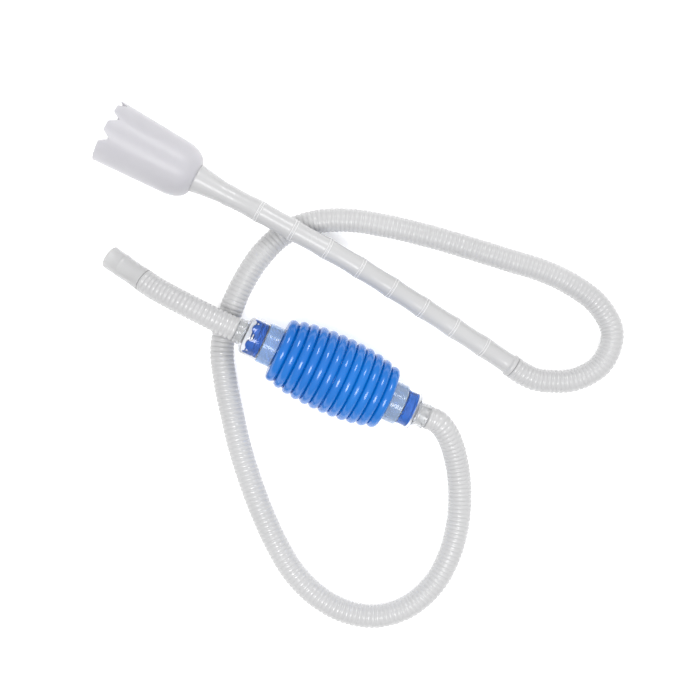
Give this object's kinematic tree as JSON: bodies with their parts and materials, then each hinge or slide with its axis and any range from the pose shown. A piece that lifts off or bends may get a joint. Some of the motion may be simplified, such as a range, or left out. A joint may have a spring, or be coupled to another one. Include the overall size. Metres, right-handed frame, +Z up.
{
  "type": "gravel vacuum siphon",
  "caption": "Hand-primed gravel vacuum siphon: notched bell nozzle on a stiff wand, ribbed hose, squeeze bellows with a check valve in each screw cap, and a spout hose.",
  "frame": {"origin": "centre of the box around the nozzle, wand and pump, on the surface the siphon lies on", "axes": "+X along the pump's axis from its outlet end to its inlet end, +Z up from the surface, +Y from the pump towards the wand"},
  "size_m": [0.4656, 0.3505, 0.0659],
  "materials": {
    "bellows_plastic": "glossy blow-moulded blue plastic",
    "valve_plastic": "satin blue moulded plastic",
    "clear_plastic": "clear glossy moulded plastic",
    "frosted_plastic": "frosted translucent moulded plastic",
    "wand_plastic": "milky translucent blow-moulded tube",
    "hose_plastic": "milky translucent ribbed tube, satin",
    "seal_rubber": "soft grey silicone"
  },
  "bodies": {
    "pump_body": {"bellows": "bellows_plastic", "inlet_seal_washer": "seal_rubber"},
    "inlet_line": {"inlet_valve_seat": "valve_plastic", "inlet_valve_cage": "valve_plastic", "inlet_hose_cuff": "hose_plastic", "main_hose": "hose_plastic", "intake_wand": "wand_plastic"},
    "inlet_cap": {"inlet_cap": "clear_plastic"},
    "inlet_disc": {"inlet_valve_disc": "seal_rubber"},
    "nozzle": {"suction_nozzle": "frosted_plastic"},
    "outlet_neck": {"outlet_seal_washer": "seal_rubber"},
    "outlet_line": {"outlet_valve_seat": "valve_plastic", "outlet_valve_cage": "valve_plastic", "outlet_hose_cuff": "hose_plastic", "outlet_hose": "hose_plastic", "outlet_spout": "clear_plastic"},
    "outlet_cap": {"outlet_cap": "clear_plastic"},
    "outlet_disc": {"outlet_valve_disc": "seal_rubber"}
  },
  "joints": [
    {"name": "inlet_cap_lift", "type": "slide", "parent": "pump_body", "child": "inlet_line", "axis": [1, 0, 0], "range_m": [0, 0.006]},
    {"name": "inlet_cap_turn", "type": "hinge", "parent": "inlet_line", "child": "inlet_cap", "pos_m": [0.1153, -0.0474, 0.0328], "axis": [1, 0, 0], "range_deg": [0, 540]},
    {"name": "inlet_valve_lift", "type": "slide", "parent": "inlet_line", "child": "inlet_disc", "axis": [-1, 0, 0], "range_m": [0, 0.0025]},
    {"name": "nozzle_pull", "type": "slide", "parent": "inlet_line", "child": "nozzle", "axis": [-0.9986, 0.0523, 0], "range_m": [0, 0.03]},
    {"name": "pump_stroke", "type": "slide", "parent": "pump_body", "child": "outlet_neck", "axis": [1, 0, 0], "range_m": [0, 0.024], "stiffness_N_per_m": 500, "deforming": ["bellows"]},
    {"name": "outlet_cap_lift", "type": "slide", "parent": "outlet_neck", "child": "outlet_line", "axis": [-1, 0, 0], "range_m": [0, 0.006]},
    {"name": "outlet_cap_turn", "type": "hinge", "parent": "outlet_line", "child": "outlet_cap", "pos_m": [-0.0077, -0.0474, 0.0328], "axis": [-1, 0, 0], "range_deg": [0, 540]},
    {"name": "outlet_valve_lift", "type": "slide", "parent": "outlet_line", "child": "outlet_disc", "axis": [-1, 0, 0], "range_m": [0, 0.0025]}
  ],
  "couplings": [
    {"joint": "inlet_cap_turn", "follows": "inlet_cap_lift", "rad_per_m": 1570.8},
    {"joint": "outlet_cap_turn", "follows": "outlet_cap_lift", "rad_per_m": 1570.8}
  ]
}
